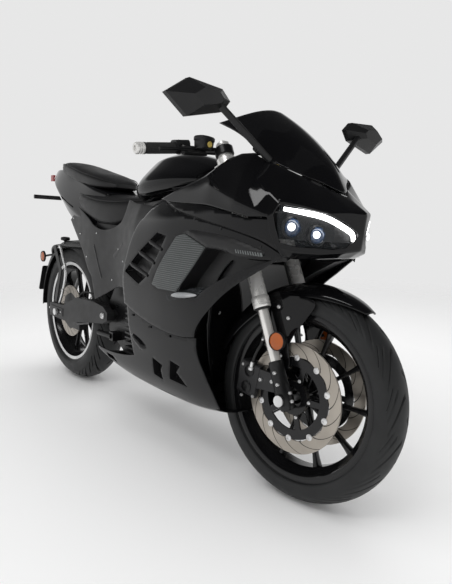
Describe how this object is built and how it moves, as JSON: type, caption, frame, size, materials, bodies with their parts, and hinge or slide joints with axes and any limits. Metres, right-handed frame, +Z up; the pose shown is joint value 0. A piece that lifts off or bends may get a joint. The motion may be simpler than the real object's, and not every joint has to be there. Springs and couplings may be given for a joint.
{
  "type": "electric sport motorcycle",
  "caption": "Faired electric sport motorcycle leaning on its side stand, with turning wheels, steering on its fork and a folding side stand.",
  "frame": {"origin": "on the ground under the middle of the bike's bounding box, as it stands parked on its side stand", "axes": "+X forward along the bike, +Y to the rider's left, +Z up; the bike leans 4 degrees to its left and its wheel is turned 7 degrees left"},
  "size_m": [2.0427, 0.844, 1.118],
  "materials": {
    "gloss_black": "gloss",
    "matte_grey": "satin",
    "frame_black": "satin",
    "case_black": "matt",
    "chain_steel": "satin",
    "steel": "satin",
    "black_plastic": "matt",
    "plate_white": "satin",
    "seat_black": "satin",
    "lamp_red": "gloss",
    "clear_lens": "gloss",
    "smoke_screen": "gloss",
    "aluminium": "satin",
    "chrome": "polished",
    "rubber_black": "matt",
    "amber": "gloss",
    "tyre": "matt",
    "wheel_black": "satin",
    "disc_steel": "satin",
    "carbon": "satin"
  },
  "bodies": {
    "frame": {"main_frame": "frame_black", "battery_case": "case_black", "motor_block": "case_black", "chain": "chain_steel", "swingarm": "matte_grey", "rear_axle": "steel", "rear_shock": "steel", "rear_hugger": "black_plastic", "plate_bracket": "black_plastic", "number_plate": "plate_white", "rear_caliper": "case_black", "footrests": "frame_black", "rider_seat": "seat_black", "pillion_seat": "seat_black", "tail_fairing": "gloss_black", "tail_lamp": "lamp_red", "rear_indicators": "black_plastic", "tank_cover": "gloss_black", "nose_fairing": "gloss_black", "headlamp_lenses": "clear_lens", "headlamp_housing": "black_plastic", "windscreen": "smoke_screen", "instrument_display": "black_plastic", "front_panel": "black_plastic", "front_indicators": "clear_lens", "side_fairing_right": "gloss_black", "side_fairing_left": "gloss_black", "side_strips": "gloss_black", "side_inserts": "carbon", "belly_pan": "gloss_black", "side_covers": "matte_grey", "mirrors": "black_plastic"},
    "steering": {"fork_uppers": "aluminium", "fork_sliders": "chrome", "fork_feet": "frame_black", "triple_clamps": "aluminium", "front_axle": "steel", "handlebars": "frame_black", "grips": "rubber_black", "bar_ends": "aluminium", "switchgear": "black_plastic", "master_cylinders": "black_plastic", "levers": "aluminium", "front_fender": "gloss_black", "front_calipers": "case_black", "fork_reflectors": "amber"},
    "front_wheel": {"front_tyre": "tyre", "front_rim": "wheel_black", "front_discs": "disc_steel", "disc_carriers": "wheel_black"},
    "rear_wheel": {"rear_tyre": "tyre", "rear_rim": "wheel_black", "rear_disc": "disc_steel", "rear_sprocket": "chain_steel"},
    "side_stand": {"side_stand": "frame_black"}
  },
  "joints": [
    {"name": "steering", "type": "hinge", "parent": "frame", "child": "steering", "pos_m": [0.45202, -0.01709, 0.79825], "axis": [-0.4226, 0.0632, 0.9041], "range_deg": [-29, 15]},
    {"name": "front_wheel_spin", "type": "hinge", "parent": "steering", "child": "front_wheel", "pos_m": [0.72981, -0.04788, 0.29204], "axis": [-0.1105, 0.9865, -0.1206], "continuous": true},
    {"name": "rear_wheel_spin", "type": "hinge", "parent": "frame", "child": "rear_wheel", "pos_m": [-0.66994, -0.05099, 0.31343], "axis": [0, 0.9976, -0.0698], "continuous": true},
    {"name": "side_stand_hinge", "type": "hinge", "parent": "frame", "child": "side_stand", "pos_m": [-0.08994, 0.04704, 0.22438], "axis": [0.1096, 0.8767, 0.4684], "range_deg": [0, 104.5]}
  ]
}
